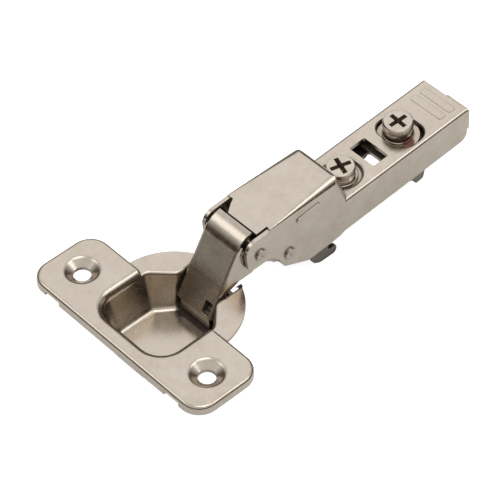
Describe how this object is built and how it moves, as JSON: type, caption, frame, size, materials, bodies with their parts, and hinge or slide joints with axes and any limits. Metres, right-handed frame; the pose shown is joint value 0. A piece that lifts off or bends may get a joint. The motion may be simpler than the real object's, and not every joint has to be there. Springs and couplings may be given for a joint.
{
  "type": "concealed cup hinge",
  "caption": "Clip-on concealed cabinet hinge with a pressed cup and wing plate, four-bar linkage, cranked arm, side and depth screws and a release lever.",
  "frame": {"origin": "centre of the 35 mm cup, on the door face under the rim", "axes": "+Z out of the door, +X from the cup towards the arm, +Y along the wing plate"},
  "size_m": [0.1153, 0.0616, 0.0279],
  "materials": {
    "nickel": "satin",
    "screw_nickel": "satin",
    "pin_steel": "bright",
    "spring_steel": "bright",
    "dark_steel": "satin"
  },
  "bodies": {
    "cup": {"cup": "nickel", "cup_pivot_pin": "pin_steel", "closing_spring_left": "spring_steel", "closing_spring_right": "spring_steel"},
    "outer_link": {"outer_link": "nickel", "outer_link_bush": "pin_steel", "spring_shoe": "dark_steel"},
    "inner_link": {"inner_link": "nickel"},
    "arm": {"arm": "nickel", "front_rivet": "nickel", "rear_rivet": "nickel", "inner_link_spacers": "pin_steel", "side_screw_nut": "nickel", "depth_screw_washer": "nickel"},
    "side_screw": {"side_screw": "screw_nickel"},
    "depth_screw": {"depth_screw": "screw_nickel"},
    "guide_plate": {"guide_plate": "dark_steel", "carriage_pin": "pin_steel"},
    "carriage": {"carriage": "dark_steel", "lever_pin": "pin_steel", "lever_spring": "spring_steel"},
    "release_lever": {"release_lever": "dark_steel"}
  },
  "joints": [
    {"name": "outer_link_swing", "type": "hinge", "parent": "cup", "child": "outer_link", "pos_m": [0.0099, 0, -0.006], "axis": [0, -1, 0], "range_deg": [-7, 96]},
    {"name": "arm_swing", "type": "hinge", "parent": "outer_link", "child": "arm", "pos_m": [0.02186, 0, 0.00837], "axis": [0, -1, 0], "range_deg": [-9.8, 0.9]},
    {"name": "inner_link_swing", "type": "hinge", "parent": "cup", "child": "inner_link", "pos_m": [0.0125, 0, -0.003], "axis": [0, -1, 0], "range_deg": [-8.2, 109.2]},
    {"name": "side_adjust_tilt", "type": "hinge", "parent": "guide_plate", "child": "carriage", "pos_m": [0.08942, 0, 0.0017], "axis": [0, -1, 0], "range_deg": [-1.95, 1.95]},
    {"name": "side_screw_turn", "type": "hinge", "parent": "arm", "child": "side_screw", "pos_m": [0.05642, 0, 0.00673], "axis": [-0.0661, 0, 0.9978], "range_deg": [-420, 420]},
    {"name": "depth_slide", "type": "slide", "parent": "arm", "child": "guide_plate", "axis": [0.9978, 0, 0.0661], "range_m": [-0.00145, 0.00145]},
    {"name": "depth_screw_turn", "type": "hinge", "parent": "arm", "child": "depth_screw", "pos_m": [0.07667, 0, 0.00807], "axis": [-0.0661, 0, 0.9978], "range_deg": [-45, 45]},
    {"name": "release_lever_swing", "type": "hinge", "parent": "carriage", "child": "release_lever", "pos_m": [0.08, 0, 0.00018], "axis": [0, -1, 0], "range_deg": [0, 7], "stiffness_Nm_per_rad": 0.03, "springref_deg": -17.19}
  ],
  "couplings": [
    {"joint": "arm_swing", "follows": "outer_link_swing", "ratio": -0.1},
    {"joint": "inner_link_swing", "follows": "outer_link_swing", "ratio": 1.134},
    {"joint": "side_screw_turn", "follows": "side_adjust_tilt", "ratio": -212.77},
    {"joint": "depth_screw_turn", "follows": "depth_slide", "rad_per_m": -540.54}
  ]
}
